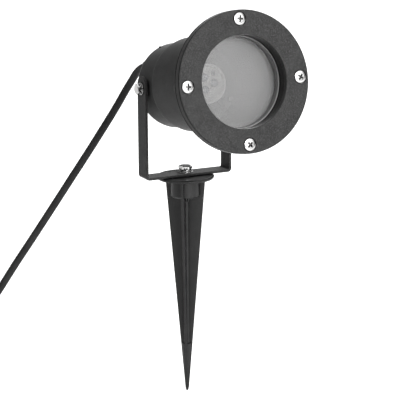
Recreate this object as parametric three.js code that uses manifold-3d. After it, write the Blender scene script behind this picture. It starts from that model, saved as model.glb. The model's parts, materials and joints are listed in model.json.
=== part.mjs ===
// A garden light projector on a ground stake: a cast lamp head that tilts in a steel yoke,
// which turns on a plastic stake. Inside the head a small motor turns a pattern wheel
// between three LEDs and their lenses. Millimetres, +Z up, and the lamp faces -Y.
// The origin is on the stake's axis, at the underside of its flange, which is ground level.
import * as THREE from "three";
import { mergeVertices } from "three/addons/utils/BufferGeometryUtils.js";
import Module from "manifold-3d";

const wasm = await Module();
wasm.setup();

// ---- driving dimensions -------------------------------------------------------------
const GAP = 0.3; // clearance between pieces that touch

// ground stake
const FLANGE_R = 23.7;
const FLANGE_T = 2.6;
const BOSS_R = 12.3;
const BOSS_H = 15.5;
const STAKE_LENGTH = 183; // from the ground to the tip
const RIB_REACH = 16.6; // from the axis to a rib's edge, at the top
const RIB_TIP = 1.4;
const RIB_T = 2;
const RIB_AZIMUTH = -36; // degrees, so that a rib points a little to the left of the front

// yoke
const YOKE_OUT = 38.35; // from the axis to an arm's outer face
const STRAP_T = 2;
const STRAP_W = 16;
const BEND_R = 3; // outside radius of a bend
const YOKE_Z = FLANGE_T + GAP; // underside of the yoke's base
const PIVOT_Z = YOKE_Z + 74.5;
const ARM_TOP_RISE = 2; // the arm's round end is centred this far above the pivot

// lamp head: distances along its axis run forwards from the pivot
const TILT = THREE.MathUtils.degToRad(10);
const REAR_R = 34.6;
const FRONT_R = 38;
const REAR_S = -17;
const STEP_S = 20;
const REAR_WALL = 3.4;
const REAR_BORE_R = 31.6;
const FRONT_BORE_R = 33.5;
const GLASS_BORE_R = 36.6;
const BEZEL_R = 55;
const OPENING_R = 36;
const FRONT_S = 109; // the bezel's front face
const BEZEL_T = 5;
const SKIRT_R = 52.9; // inside of the bezel's rim, which covers the lamp's flange
const SEAL_T = 0.6;
const LAMP_FLANGE_T = 2.4;
const GLASS_S = 90.2; // the glass's front face
const GLASS_T = 4;
const GLASS_R = 36.2;
const RETAINER_S = 96.6; // the front of the ring that holds the glass
const RETAINER_BORE_R = 35.2;
const SCREW_CIRCLE_R = 48;
// pivots: bosses cast inside and outside the lamp's wall, and the bolts through the yoke
const PIVOT_BOSS_R = 6;
const PIVOT_PAD_R = 7;
const PIVOT_HOLE_R = 2.8;
const PIVOT_FLATS = 8;
const PIVOT_HEAD_H = 2.4;
const PIVOT_BOLT_R = 2.4;
const PIVOT_WASHER_T = 0.7; // both of its washers
const PAD_OUT = YOKE_OUT - STRAP_T - 0.35; // the pivot pads' outer faces

// cable gland, above the axis on the rear wall
const GLAND_UP = 17;
const CORD_D = 6.5;
const GLAND_THREAD_R = 6;
const BOOT_LENGTH = 36;
const BOOT_R = 5.9;

// lamp module
const PLATE_S = 30.3;
const BOARD_S = 32.1;
const HOLDER_R = 15.8;
const HOLDER_FRONT_S = 44.4;
const LENS_CIRCLE_R = 5.5;
const LENS_R = 2.8;
const SENSOR_R = 1.5;
const CARRIER_CIRCLE_R = 28;
const CARRIER_SCREW_R = 1.5;
const WHEEL_R = 12.5;
const WHEEL_S = 37.5;

// the cord's coil, on the ground that the tip would touch
const COIL_AT = [-177.6, 180.1];
const COIL_R = 36; // the middle of the turns
const COIL_COLUMNS = 3;
const COIL_LAYERS = 4;
const TIE_T = 1;
const TIE_W = 9;
const TIE_AZIMUTH = -40; // degrees, round the coil
const FLOOR_Z = -STAKE_LENGTH;
const COIL_Z = FLOOR_Z + TIE_T + 2 * GAP; // underside of the coil
const COIL_H = COIL_LAYERS * CORD_D;
const COIL_HALF_W = (COIL_COLUMNS * CORD_D) / 2;

// ---- materials ----------------------------------------------------------------------
const material = (color, roughness, metalness, more = {}) =>
  new THREE.MeshStandardMaterial({ color, roughness, metalness, ...more });
const powderCoat = () => material(0x2e2f30, 0.6, 0.2);
const stakePlastic = () => material(0x1f2021, 0.5, 0);
const brightSteel = () => material(0xd8d9da, 0.25, 1);
const blackRubber = () => material(0x161616, 0.8, 0);
const blackNylon = () => material(0x1a1a1b, 0.55, 0);
const greySilicone = () => material(0x8d8f90, 0.7, 0);
const castAluminium = () => material(0x9ea0a2, 0.45, 1);
const whitePlastic = () => material(0xdcdcd8, 0.45, 0);
const circuitBoard = () => material(0x1f5a38, 0.5, 0);
const clearGlass = () =>
  material(0x9aa0a2, 0.08, 0, { transparent: true, opacity: 0.45 });

// ---- helpers ------------------------------------------------------------------------
function toSolid(geometry) {
  const bare = geometry.clone();
  bare.deleteAttribute("normal");
  bare.deleteAttribute("uv");
  const merged = mergeVertices(bare, 1e-4);
  return new wasm.Manifold(
    new wasm.Mesh({
      numProp: 3,
      vertProperties: new Float32Array(merged.attributes.position.array),
      triVerts: new Uint32Array(merged.index.array),
    }),
  );
}

function toGeometry(solid) {
  const mesh = solid.getMesh();
  const geometry = new THREE.BufferGeometry();
  geometry.setAttribute("position", new THREE.BufferAttribute(mesh.vertProperties, 3));
  geometry.setIndex(new THREE.BufferAttribute(mesh.triVerts, 1));
  geometry.computeVertexNormals();
  return geometry;
}

function join(first, ...others) {
  return toGeometry(others.reduce((all, g) => all.add(toSolid(g)), toSolid(first)));
}

function cut(base, ...tools) {
  return toGeometry(tools.reduce((left, g) => left.subtract(toSolid(g)), toSolid(base)));
}

function common(a, b) {
  return toGeometry(toSolid(a).intersect(toSolid(b)));
}

const degrees = THREE.MathUtils.degToRad;
const outline = (points) => points.map(([r, s]) => new THREE.Vector2(r, s));

// A turned piece along +Z, from (radius, height) points that start and end on the axis.
function turnedUp(points, segments = 24) {
  return new THREE.LatheGeometry(outline(points), segments).rotateX(Math.PI / 2);
}

// A turned piece along the lamp's axis, from (radius, distance forwards) points.
function turnedForward(points, segments = 24) {
  return new THREE.LatheGeometry(outline(points), segments).rotateX(Math.PI);
}

// The closed outline of a plain ring.
const ringOutline = (inner, outer, from, to) => [
  [inner, from],
  [outer, from],
  [outer, to],
  [inner, to],
  [inner, from],
];

// A solid rod or prism along +Z between two heights.
function rod(radius, from, to, sides = 20) {
  return new THREE.CylinderGeometry(radius, radius, to - from, sides)
    .rotateX(Math.PI / 2)
    .translate(0, 0, (from + to) / 2);
}

// The same along the lamp's axis, moved off it by x and up.
function rodForward(radius, from, to, x = 0, up = 0, sides = 20) {
  return new THREE.CylinderGeometry(radius, radius, to - from, sides)
    .rotateX(Math.PI)
    .translate(x, -(from + to) / 2, up);
}

// The same along X.
function rodAcross(radius, from, to, sides = 20) {
  return new THREE.CylinderGeometry(radius, radius, to - from, sides)
    .rotateZ(-Math.PI / 2)
    .translate((from + to) / 2, 0, 0);
}

const hexRadius = (acrossFlats) => acrossFlats / Math.sqrt(3);

function box(width, depth, height, x = 0, y = 0, z = 0) {
  return new THREE.BoxGeometry(width, depth, height).translate(x, y, z);
}

// A split spring washer along +Z.
function splitWasher(inner, outer, from, to) {
  const ring = turnedUp(ringOutline(inner, outer, from, to), 18);
  const slit = box(outer, 0.9, 2 * (to - from), outer, 0, (from + to) / 2).rotateZ(0.9);
  return cut(ring, slit);
}

const part = new THREE.Group();
const head = new THREE.Group();
head.position.set(0, 0, PIVOT_Z);
head.rotation.x = -TILT;
part.add(head);

function add(group, name, geometry, surface) {
  const mesh = new THREE.Mesh(geometry, surface);
  mesh.name = name;
  group.add(mesh);
  return mesh;
}

// ---- ground stake and its bolt --------------------------------------------------------
const NUT_FLATS = 10;
const NUT_H = 5;
const NUT_Z = -2.8; // underside of the nut in its pocket
const BOLT_R = 2.85;

function rib(azimuth) {
  const shape = new THREE.Shape();
  shape.moveTo(-RIB_REACH, 0);
  shape.lineTo(-RIB_TIP, -STAKE_LENGTH + 2);
  shape.lineTo(0, -STAKE_LENGTH);
  shape.lineTo(RIB_TIP, -STAKE_LENGTH + 2);
  shape.lineTo(RIB_REACH, 0);
  shape.lineTo(RIB_REACH, 1);
  shape.lineTo(-RIB_REACH, 1);
  shape.closePath();
  return new THREE.ExtrudeGeometry(shape, { depth: RIB_T, bevelEnabled: false })
    .translate(0, 0, -RIB_T / 2)
    .rotateX(Math.PI / 2)
    .rotateZ(degrees(azimuth));
}

function groundStake() {
  const flange = turnedUp(
    [
      [0, 0],
      [FLANGE_R - 0.4, 0],
      [FLANGE_R, 0.4],
      [FLANGE_R, FLANGE_T - 0.8],
      [FLANGE_R - 0.8, FLANGE_T],
      [0, FLANGE_T],
    ],
    48,
  );
  const boss = turnedUp(
    [
      [0, -BOSS_H],
      [BOSS_R - 1, -BOSS_H],
      [BOSS_R, -BOSS_H + 1],
      [BOSS_R, 1],
      [0, 1],
    ],
    32,
  );
  const core = new THREE.CylinderGeometry(2.6, 1, STAKE_LENGTH - 8, 12)
    .rotateX(Math.PI / 2)
    .translate(0, 0, -(STAKE_LENGTH - 8) / 2);
  const body = join(flange, boss, rib(RIB_AZIMUTH), rib(RIB_AZIMUTH + 90), core);
  const pocket = rod(hexRadius(NUT_FLATS + 2 * GAP), NUT_Z - GAP, FLANGE_T + 1, 6);
  const boltHole = rod(BOLT_R + 0.4, -9, 0, 16);
  return cut(body, pocket, boltHole);
}

const WASHER_Z = YOKE_Z + STRAP_T + GAP;
const WASHER_T = 0.8;
const LOCK_Z = WASHER_Z + WASHER_T + GAP;
const LOCK_T = 1;
const BOLT_HEAD_Z = LOCK_Z + LOCK_T + GAP;
const BOLT_HEAD_H = 3;

function hexBolt(flats, headFrom, headTo, shankR, shankEnd) {
  const radius = hexRadius(flats);
  const hex = rod(radius, headFrom, headTo, 6);
  const crown = turnedUp(
    [
      [0, headFrom - 1],
      [radius + 1, headFrom - 1],
      [radius + 1, headTo - 1.1],
      [flats / 2 - 0.3, headTo],
      [0, headTo],
    ],
    24,
  );
  return join(common(hex, crown), rod(shankR, shankEnd, headFrom + 1, 16));
}

add(part, "ground_stake", groundStake(), stakePlastic());
add(
  part,
  "stake_nut",
  cut(rod(hexRadius(NUT_FLATS), NUT_Z, NUT_Z + NUT_H, 6), rod(BOLT_R + GAP, -9, 9, 16)),
  brightSteel(),
);
add(
  part,
  "centre_bolt",
  hexBolt(NUT_FLATS, BOLT_HEAD_Z, BOLT_HEAD_Z + BOLT_HEAD_H, BOLT_R, -8),
  brightSteel(),
);
add(
  part,
  "centre_washer",
  turnedUp(ringOutline(BOLT_R + GAP, 6.2, WASHER_Z, WASHER_Z + WASHER_T), 24),
  brightSteel(),
);
add(
  part,
  "centre_lock_washer",
  splitWasher(BOLT_R + GAP, 5.1, LOCK_Z, LOCK_Z + LOCK_T),
  brightSteel(),
);

// ---- yoke ---------------------------------------------------------------------------
function yokeBracket() {
  const inside = YOKE_OUT - STRAP_T;
  const top = PIVOT_Z + ARM_TOP_RISE + STRAP_W / 2 + 1;
  const inner = BEND_R - STRAP_T;
  const strap = new THREE.Shape();
  strap.moveTo(YOKE_OUT, top);
  strap.lineTo(inside, top);
  strap.lineTo(inside, YOKE_Z + BEND_R);
  strap.absarc(inside - inner, YOKE_Z + BEND_R, inner, 0, -Math.PI / 2, true);
  strap.absarc(-inside + inner, YOKE_Z + BEND_R, inner, -Math.PI / 2, -Math.PI, true);
  strap.lineTo(-inside, top);
  strap.lineTo(-YOKE_OUT, top);
  strap.absarc(-YOKE_OUT + BEND_R, YOKE_Z + BEND_R, BEND_R, Math.PI, 1.5 * Math.PI, false);
  strap.absarc(YOKE_OUT - BEND_R, YOKE_Z + BEND_R, BEND_R, 1.5 * Math.PI, 2 * Math.PI, false);
  const bent = new THREE.ExtrudeGeometry(strap, {
    depth: STRAP_W,
    bevelEnabled: false,
    curveSegments: 5,
  })
    .rotateX(Math.PI / 2)
    .translate(0, STRAP_W / 2, 0);
  const side = new THREE.Shape();
  side.moveTo(-STRAP_W / 2 - 1, 0);
  side.lineTo(STRAP_W / 2 + 1, 0);
  side.lineTo(STRAP_W / 2 + 1, YOKE_Z + STRAP_T + 1);
  side.lineTo(STRAP_W / 2, YOKE_Z + STRAP_T + 1);
  side.absarc(0, PIVOT_Z + ARM_TOP_RISE, STRAP_W / 2, 0, Math.PI, false);
  side.lineTo(-STRAP_W / 2, YOKE_Z + STRAP_T + 1);
  side.lineTo(-STRAP_W / 2 - 1, YOKE_Z + STRAP_T + 1);
  const span = 2 * YOKE_OUT + 2;
  const roundEnds = new THREE.ExtrudeGeometry(side, {
    depth: span,
    bevelEnabled: false,
    curveSegments: 10,
  })
    .rotateX(Math.PI / 2)
    .rotateZ(Math.PI / 2)
    .translate(-span / 2, 0, 0);
  const pivotHoles = rodAcross(PIVOT_HOLE_R, -span / 2, span / 2, 16).translate(0, 0, PIVOT_Z);
  const centreHole = rod(BOLT_R + 0.4, 0, YOKE_Z + 5, 16);
  return cut(common(bent, roundEnds), pivotHoles, centreHole);
}

add(part, "yoke_bracket", yokeBracket(), powderCoat());

// ---- cord, coil and plug --------------------------------------------------------------
// The cord's route from its boot to the coil, chosen by hand: straight out of the boot, over a
// shoulder of about 28 mm radius, straight down to the ground and level into the coil.
const CORD_ROUTE = [
  [0, 74, 81.6],
  [0, 76.5, 81.1],
  [-0.3, 82.4, 79.4],
  [-1, 88, 76.5],
  [-2, 92.9, 72.4],
  [-3.3, 96.8, 67.3],
  [-5.6, 100, 61.6],
  [-15.5, 107, 41],
  [-26, 114.5, 20.5],
  [-36.5, 122.5, 0],
  [-47, 130.5, -20],
  [-57.5, 139, -40.5],
  [-68, 147, -60.5],
  [-79, 155, -81],
  [-89.5, 163.5, -101],
  [-100, 171.5, -121.5],
  [-110.5, 179.5, -141.5],
  [-121, 188, -162],
  [-127.5, 193, -170.7],
  [-135.2, 199.3, -176.2],
  [-142.9, 205.9, -178.1],
  [-150, 211.6, -178.1],
];

function cordTube() {
  const route = new THREE.CatmullRomCurve3(
    CORD_ROUTE.map((p) => new THREE.Vector3(...p)),
    false,
    "centripetal",
  );
  const section = new THREE.Shape();
  const sides = 8;
  for (let i = 0; i < sides; i++) {
    const turn = (2 * Math.PI * i) / sides;
    const at = [(CORD_D / 2) * Math.cos(turn), (CORD_D / 2) * Math.sin(turn)];
    if (i) section.lineTo(...at);
    else section.moveTo(...at);
  }
  const tube = new THREE.ExtrudeGeometry(section, {
    steps: 34,
    extrudePath: route,
    bevelEnabled: false,
  });
  return cut(tube, coilRing(GAP));
}

// The outer shape of the coiled turns, larger all round by a clearance.
function coilRing(clearance = 0) {
  const [x, y] = COIL_AT;
  const round = 2.5;
  const inner = COIL_R - COIL_HALF_W - clearance;
  const outer = COIL_R + COIL_HALF_W + clearance;
  const bottom = -clearance;
  const top = COIL_H + clearance;
  return turnedUp(
    [
      [inner + round, bottom],
      [outer - round, bottom],
      [outer, bottom + round],
      [outer, top - round],
      [outer - round, top],
      [inner + round, top],
      [inner, top - round],
      [inner, bottom + round],
      [inner + round, bottom],
    ],
    32,
  ).translate(x, y, COIL_Z);
}

// A flat strap round the bundle of turns.
function coilTie() {
  const [x, y] = COIL_AT;
  const width = 2 * (COIL_HALF_W + 2 * GAP + TIE_T);
  const block = box(width, TIE_W, COIL_H + 2 * (GAP + TIE_T))
    .translate(COIL_R, 0, COIL_H / 2)
    .rotateZ(degrees(TIE_AZIMUTH))
    .translate(x, y, COIL_Z);
  return cut(block, coilRing(GAP));
}

const PLUG_Z = COIL_Z + COIL_H + GAP + 10.7; // the plug's centre line, on top of the coil
const PLUG_AT = [COIL_AT[0] - 17.5, COIL_AT[1] - 24.6];
const PLUG_TURN = degrees(-62);
const PIN_SPACING = 19;

// The plug along +X: a round-nosed body that narrows to the cord.
function plugBody() {
  const face = new THREE.Shape();
  face.absarc(9, 0, 8.5, -Math.PI / 2, Math.PI / 2, false);
  face.absarc(-9, 0, 8.5, Math.PI / 2, 1.5 * Math.PI, false);
  const block = new THREE.ExtrudeGeometry(face, {
    depth: 30,
    curveSegments: 8,
    bevelThickness: 2,
    bevelSize: 2,
    bevelSegments: 1,
  }).rotateY(Math.PI / 2);
  const upright = block.rotateX(Math.PI / 2).translate(-13, 0, 0);
  const neck = new THREE.CylinderGeometry(4.6, 9, 16, 16)
    .rotateZ(Math.PI / 2)
    .translate(-21, 0, 0);
  return join(upright, neck);
}

function plugPin(side) {
  return turnedUp(
    [
      [0, 0],
      [2.4, 0],
      [2.4, 18],
      [1.4, 19],
      [0, 19],
    ],
    12,
  )
    .rotateY(Math.PI / 2)
    .translate(19 + GAP, (side * PIN_SPACING) / 2, 0);
}

const plug = new THREE.Group();
plug.position.set(...PLUG_AT, PLUG_Z);
plug.rotation.z = PLUG_TURN;
part.add(plug);

add(part, "cord_tube", cordTube(), blackRubber());
add(part, "cord_coil", coilRing(), blackRubber());
add(part, "coil_tie", coilTie(), blackNylon());
add(plug, "plug_body", plugBody(), blackRubber());
add(plug, "plug_pin_left", plugPin(1), brightSteel());
add(plug, "plug_pin_right", plugPin(-1), brightSteel());

// ---- lamp housing ---------------------------------------------------------------------
const BEZEL_BACK_S = FRONT_S - BEZEL_T;
const SEAL_S = BEZEL_BACK_S - GAP - SEAL_T; // back of the flange seal
const FLANGE_FRONT_S = SEAL_S - GAP;
const FLANGE_BACK_S = FLANGE_FRONT_S - LAMP_FLANGE_T;
const LAMP_FLANGE_R = SKIRT_R - GAP;
const SEAT_S = GLASS_S - GLASS_T - 1.4; // the shoulder under the glass and its seal
const SCREW_R = 1.9;
const SCREW_END_S = FLANGE_BACK_S - 5;

const aroundFront = [0, 1, 2, 3].map((i) => {
  const turn = (Math.PI / 2) * i;
  return [SCREW_CIRCLE_R * Math.cos(turn), SCREW_CIRCLE_R * Math.sin(turn)];
});
const carrierPlaces = [90, 210, 330].map((a) => {
  const turn = degrees(a);
  return [CARRIER_CIRCLE_R * Math.cos(turn), CARRIER_CIRCLE_R * Math.sin(turn)];
});

function housing() {
  const shell = turnedForward(
    [
      [0, REAR_S],
      [REAR_R - 3, REAR_S],
      [REAR_R - 0.9, REAR_S + 0.9],
      [REAR_R, REAR_S + 3],
      [REAR_R, STEP_S],
      [FRONT_R - 0.8, STEP_S],
      [FRONT_R, STEP_S + 0.8],
      [FRONT_R, FLANGE_BACK_S],
      [LAMP_FLANGE_R, FLANGE_BACK_S],
      [LAMP_FLANGE_R, FLANGE_FRONT_S],
      [GLASS_BORE_R, FLANGE_FRONT_S],
      [GLASS_BORE_R, SEAT_S],
      [FRONT_BORE_R, SEAT_S],
      [FRONT_BORE_R, STEP_S + 4],
      [REAR_BORE_R, STEP_S + 2],
      [REAR_BORE_R, REAR_S + REAR_WALL],
      [0, REAR_S + REAR_WALL],
    ],
    40,
  );
  const flangeBosses = aroundFront.map(([x, up]) =>
    rodForward(4.6, FLANGE_BACK_S - 8, FLANGE_BACK_S + 1, x, up, 16),
  );
  const pivotBosses = [-1, 1].flatMap((side) => [
    rodAcross(PIVOT_BOSS_R, Math.min(side * 27, side * 33), Math.max(side * 27, side * 33), 16),
    rodAcross(
      PIVOT_PAD_R,
      Math.min(side * 32.4, side * PAD_OUT),
      Math.max(side * 32.4, side * PAD_OUT),
    ),
  ]);
  const carrierBosses = carrierPlaces.map(([x, up]) =>
    rodForward(4.4, 6, PLATE_S - GAP, x, up, 12),
  );
  const pip = rodForward(0.8, REAR_S + 6, REAR_S + 7.8, -14.3, REAR_R - 2.6, 8);
  const solid = join(shell, ...flangeBosses, ...pivotBosses, ...carrierBosses, pip);
  const screwHoles = aroundFront.map(([x, up]) =>
    rodForward(SCREW_R + GAP, SCREW_END_S - 1, FLANGE_FRONT_S + 1, x, up, 12),
  );
  const pivotHoles = [
    rodAcross(PIVOT_BOLT_R + GAP, -40, -28.5, 12),
    rodAcross(PIVOT_BOLT_R + GAP, 28.5, 40, 12),
  ];
  const carrierHoles = carrierPlaces.map(([x, up]) =>
    rodForward(CARRIER_SCREW_R + GAP, 20, PLATE_S + 1, x, up, 10),
  );
  const glandHole = rodForward(
    GLAND_THREAD_R + GAP,
    REAR_S - 1,
    REAR_S + REAR_WALL + 1,
    0,
    GLAND_UP,
    20,
  );
  return cut(solid, ...screwHoles, ...pivotHoles, ...carrierHoles, glandHole);
}

function flangeSeal() {
  const ring = turnedForward(
    ringOutline(GLASS_BORE_R + 2, LAMP_FLANGE_R - 0.5, SEAL_S, SEAL_S + SEAL_T),
    36,
  );
  const holes = aroundFront.map(([x, up]) =>
    rodForward(SCREW_R + GAP, SEAL_S - 1, SEAL_S + 2, x, up, 12),
  );
  return cut(ring, ...holes);
}

const HEAD_R = 4.6;
const HEAD_H = 2.6;
const COUNTERBORE = 2.2;

function bezelRing() {
  const ring = turnedForward(
    [
      [OPENING_R, BEZEL_BACK_S],
      [SKIRT_R, BEZEL_BACK_S],
      [SKIRT_R, FLANGE_BACK_S],
      [BEZEL_R, FLANGE_BACK_S],
      [BEZEL_R, FRONT_S - 1.2],
      [BEZEL_R - 0.35, FRONT_S - 0.35],
      [BEZEL_R - 1.2, FRONT_S],
      [OPENING_R + 0.7, FRONT_S],
      [OPENING_R, FRONT_S - 0.7],
      [OPENING_R, BEZEL_BACK_S],
    ],
    44,
  );
  const holes = aroundFront.flatMap(([x, up]) => [
    rodForward(HEAD_R + 0.5, FRONT_S - COUNTERBORE, FRONT_S + 1, x, up, 20),
    rodForward(SCREW_R + GAP, BEZEL_BACK_S - 1, FRONT_S, x, up, 12),
  ]);
  return cut(ring, ...holes);
}

function crossHeadScrew(headBack, shankEnd, headR, headH, shankR, turn) {
  const body = turnedForward(
    [
      [0, shankEnd],
      [shankR, shankEnd],
      [shankR, headBack],
      [headR, headBack],
      [headR, headBack + 0.5 * headH],
      [0.72 * headR, headBack + 0.9 * headH],
      [0, headBack + headH],
    ],
    12,
  );
  const slot = 0.22 * headR;
  const long = 1.15 * headR;
  const deep = 0.6 * headH;
  const middle = -(headBack + headH);
  return cut(
    body,
    box(long, 2 * deep, slot, 0, middle, 0).rotateY(turn),
    box(slot, 2 * deep, long, 0, middle, 0).rotateY(turn),
  );
}

add(head, "housing", housing(), powderCoat());
add(head, "flange_seal", flangeSeal(), blackRubber());
add(head, "bezel_ring", bezelRing(), powderCoat());
const screwNames = ["right", "top", "left", "bottom"];
const screwTurns = [0.6, 0.15, 0.1, 0.85];
aroundFront.forEach(([x, up], i) => {
  const geometry = crossHeadScrew(
    FRONT_S - COUNTERBORE + GAP,
    SCREW_END_S,
    HEAD_R,
    HEAD_H,
    SCREW_R,
    screwTurns[i],
  );
  add(head, `bezel_screw_${screwNames[i]}`, geometry, brightSteel()).position.set(x, 0, up);
});

// ---- glass and its rings ----------------------------------------------------------------
add(
  head,
  "front_glass",
  turnedForward(
    [
      [0, GLASS_S - GLASS_T],
      [GLASS_R, GLASS_S - GLASS_T],
      [GLASS_R, GLASS_S],
      [0, GLASS_S],
    ],
    36,
  ),
  clearGlass(),
);
add(
  head,
  "glass_seal",
  turnedForward(
    ringOutline(FRONT_BORE_R + 0.3, GLASS_R, SEAT_S + GAP, GLASS_S - GLASS_T - GAP),
    36,
  ),
  greySilicone(),
);
add(
  head,
  "glass_retainer",
  turnedForward(ringOutline(RETAINER_BORE_R, GLASS_R, GLASS_S + GAP, RETAINER_S), 36),
  greySilicone(),
);

// ---- pivot bolts --------------------------------------------------------------------------
for (const [name, turn] of [
  ["left", Math.PI],
  ["right", 0],
]) {
  // Each set is made along +Z and turned to point outwards along X.
  const outwards = (geometry) => geometry.rotateY(Math.PI / 2).rotateZ(turn);
  const washer = YOKE_OUT + GAP;
  const lock = washer + PIVOT_WASHER_T + GAP;
  const boltHead = lock + PIVOT_WASHER_T + GAP;
  add(
    head,
    `pivot_washer_${name}`,
    outwards(
      turnedUp(ringOutline(PIVOT_BOLT_R + GAP, 5, washer, washer + PIVOT_WASHER_T), 20),
    ),
    brightSteel(),
  );
  add(
    head,
    `pivot_lock_washer_${name}`,
    outwards(splitWasher(PIVOT_BOLT_R + GAP, 4.2, lock, lock + PIVOT_WASHER_T)),
    brightSteel(),
  );
  add(
    head,
    `pivot_bolt_${name}`,
    outwards(hexBolt(PIVOT_FLATS, boltHead, boltHead + PIVOT_HEAD_H, PIVOT_BOLT_R, 29)),
    brightSteel(),
  );
}

// ---- cable gland --------------------------------------------------------------------------
const GLAND_BORE_R = 3.6;
const gland = new THREE.Group();
gland.position.set(0, 0, GLAND_UP);
head.add(gland);

const glandHexFront = REAR_S - GAP;
const glandHexBack = glandHexFront - 4.5;
const domeBack = glandHexBack - GAP - 13;
const bootFront = domeBack - GAP;
const bootBack = bootFront - BOOT_LENGTH;

function glandBody() {
  const flange = rodForward(hexRadius(17), glandHexBack, glandHexFront, 0, 0, 6);
  const thread = rodForward(GLAND_THREAD_R, glandHexBack + 1, REAR_S + REAR_WALL + 5, 0, 0, 20);
  const bore = rodForward(GLAND_BORE_R, glandHexBack - 1, REAR_S + 20, 0, 0, 12);
  return cut(join(flange, thread), bore);
}

function glandLocknut() {
  const from = REAR_S + REAR_WALL + GAP;
  return cut(
    rodForward(hexRadius(15), from, from + 3, 0, 0, 6),
    rodForward(GLAND_THREAD_R + GAP, from - 1, from + 4, 0, 0, 16),
  );
}

function glandDome() {
  return turnedForward(
    [
      [GLAND_BORE_R, domeBack],
      [4.8, domeBack],
      [6.6, domeBack + 2],
      [7.6, domeBack + 5],
      [7.8, glandHexBack - GAP],
      [GLAND_BORE_R, glandHexBack - GAP],
      [GLAND_BORE_R, domeBack],
    ],
    16,
  );
}

function cordBoot() {
  return turnedForward(
    [
      [0, bootBack],
      [BOOT_R - 1.5, bootBack],
      [BOOT_R - 0.7, bootBack + 1],
      [BOOT_R, bootFront - 2],
      [BOOT_R, bootFront],
      [0, bootFront],
    ],
    16,
  );
}

add(gland, "gland_body", glandBody(), blackNylon());
add(gland, "gland_locknut", glandLocknut(), blackNylon());
add(gland, "gland_dome_nut", glandDome(), blackNylon());
add(gland, "cord_boot", cordBoot(), blackRubber());

// ---- lamp module --------------------------------------------------------------------------
const SHAFT_R = 1;
const PLATE_T = 1.5;
const BOARD_T = 1.4;
const SINK_BORE_R = 9.2;
const SINK_BACK_S = 15;

const lensPlaces = [0, 120, 240].map((a) => {
  const turn = degrees(a);
  return [LENS_CIRCLE_R * Math.cos(turn), LENS_CIRCLE_R * Math.sin(turn)];
});
const SENSOR_PLACE = [5.4, 7.9];

function carrierPlate() {
  const disc = rodForward(31, PLATE_S, PLATE_S + PLATE_T, 0, 0, 28);
  const holes = carrierPlaces.map(([x, up]) =>
    rodForward(CARRIER_SCREW_R + GAP, PLATE_S - 1, PLATE_S + PLATE_T + 1, x, up, 10),
  );
  const cordHole = rodForward(3, PLATE_S - 1, PLATE_S + PLATE_T + 1, 0, -24, 12);
  const shaftHole = rodForward(2.4, PLATE_S - 1, PLATE_S + PLATE_T + 1, 0, 0, 12);
  return cut(disc, ...holes, cordHole, shaftHole);
}

function heatSink() {
  const front = PLATE_S - GAP;
  const tube = turnedForward(ringOutline(SINK_BORE_R, 13, SINK_BACK_S, front), 24);
  const fins = [];
  for (let i = 0; i < 12; i++) {
    const fin = box(11.5, front - SINK_BACK_S, 1.4, 17.5, -(front + SINK_BACK_S) / 2, 0);
    fins.push(fin.rotateY(degrees(30 * i + 15)));
  }
  return join(tube, ...fins);
}

function lensHolder() {
  const cup = turnedForward(
    [
      [0, HOLDER_FRONT_S - 2.6],
      [HOLDER_R - 1.5, HOLDER_FRONT_S - 2.6],
      [HOLDER_R - 1.5, BOARD_S + BOARD_T + GAP],
      [HOLDER_R, BOARD_S + BOARD_T + GAP],
      [HOLDER_R, HOLDER_FRONT_S - 0.3],
      [HOLDER_R - 0.4, HOLDER_FRONT_S],
      [HOLDER_R - 2, HOLDER_FRONT_S],
      [HOLDER_R - 2.4, HOLDER_FRONT_S - 0.6],
      [0, HOLDER_FRONT_S - 0.6],
    ],
    28,
  );
  const holes = lensPlaces.map(([x, up]) =>
    rodForward(LENS_R + GAP, HOLDER_FRONT_S - 4, HOLDER_FRONT_S + 1, x, up, 16),
  );
  const [x, up] = SENSOR_PLACE;
  const sensorHole = rodForward(
    SENSOR_R + GAP,
    HOLDER_FRONT_S - 4,
    HOLDER_FRONT_S + 1,
    x,
    up,
    12,
  );
  return cut(cup, ...holes, sensorHole);
}

function lens() {
  return turnedForward(
    [
      [0, HOLDER_FRONT_S - 3.4],
      [LENS_R, HOLDER_FRONT_S - 3.4],
      [LENS_R, HOLDER_FRONT_S],
      [2.2, HOLDER_FRONT_S + 0.8],
      [1.2, HOLDER_FRONT_S + 1.3],
      [0, HOLDER_FRONT_S + 1.5],
    ],
    16,
  );
}

function patternWheel() {
  const disc = turnedForward(
    [
      [SHAFT_R + GAP, WHEEL_S - 1.4],
      [2.6, WHEEL_S - 1.4],
      [2.6, WHEEL_S],
      [WHEEL_R, WHEEL_S],
      [WHEEL_R, WHEEL_S + 0.8],
      [2.6, WHEEL_S + 0.8],
      [SHAFT_R + GAP, WHEEL_S + 0.8],
      [SHAFT_R + GAP, WHEEL_S - 1.4],
    ],
    28,
  );
  const windows = [];
  for (let i = 0; i < 6; i++) {
    const turn = degrees(60 * i + 30);
    const x = 7.4 * Math.cos(turn);
    const up = 7.4 * Math.sin(turn);
    windows.push(rodForward(2.7, WHEEL_S - 1, WHEEL_S + 2, x, up, 6));
  }
  return cut(disc, ...windows);
}

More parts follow.
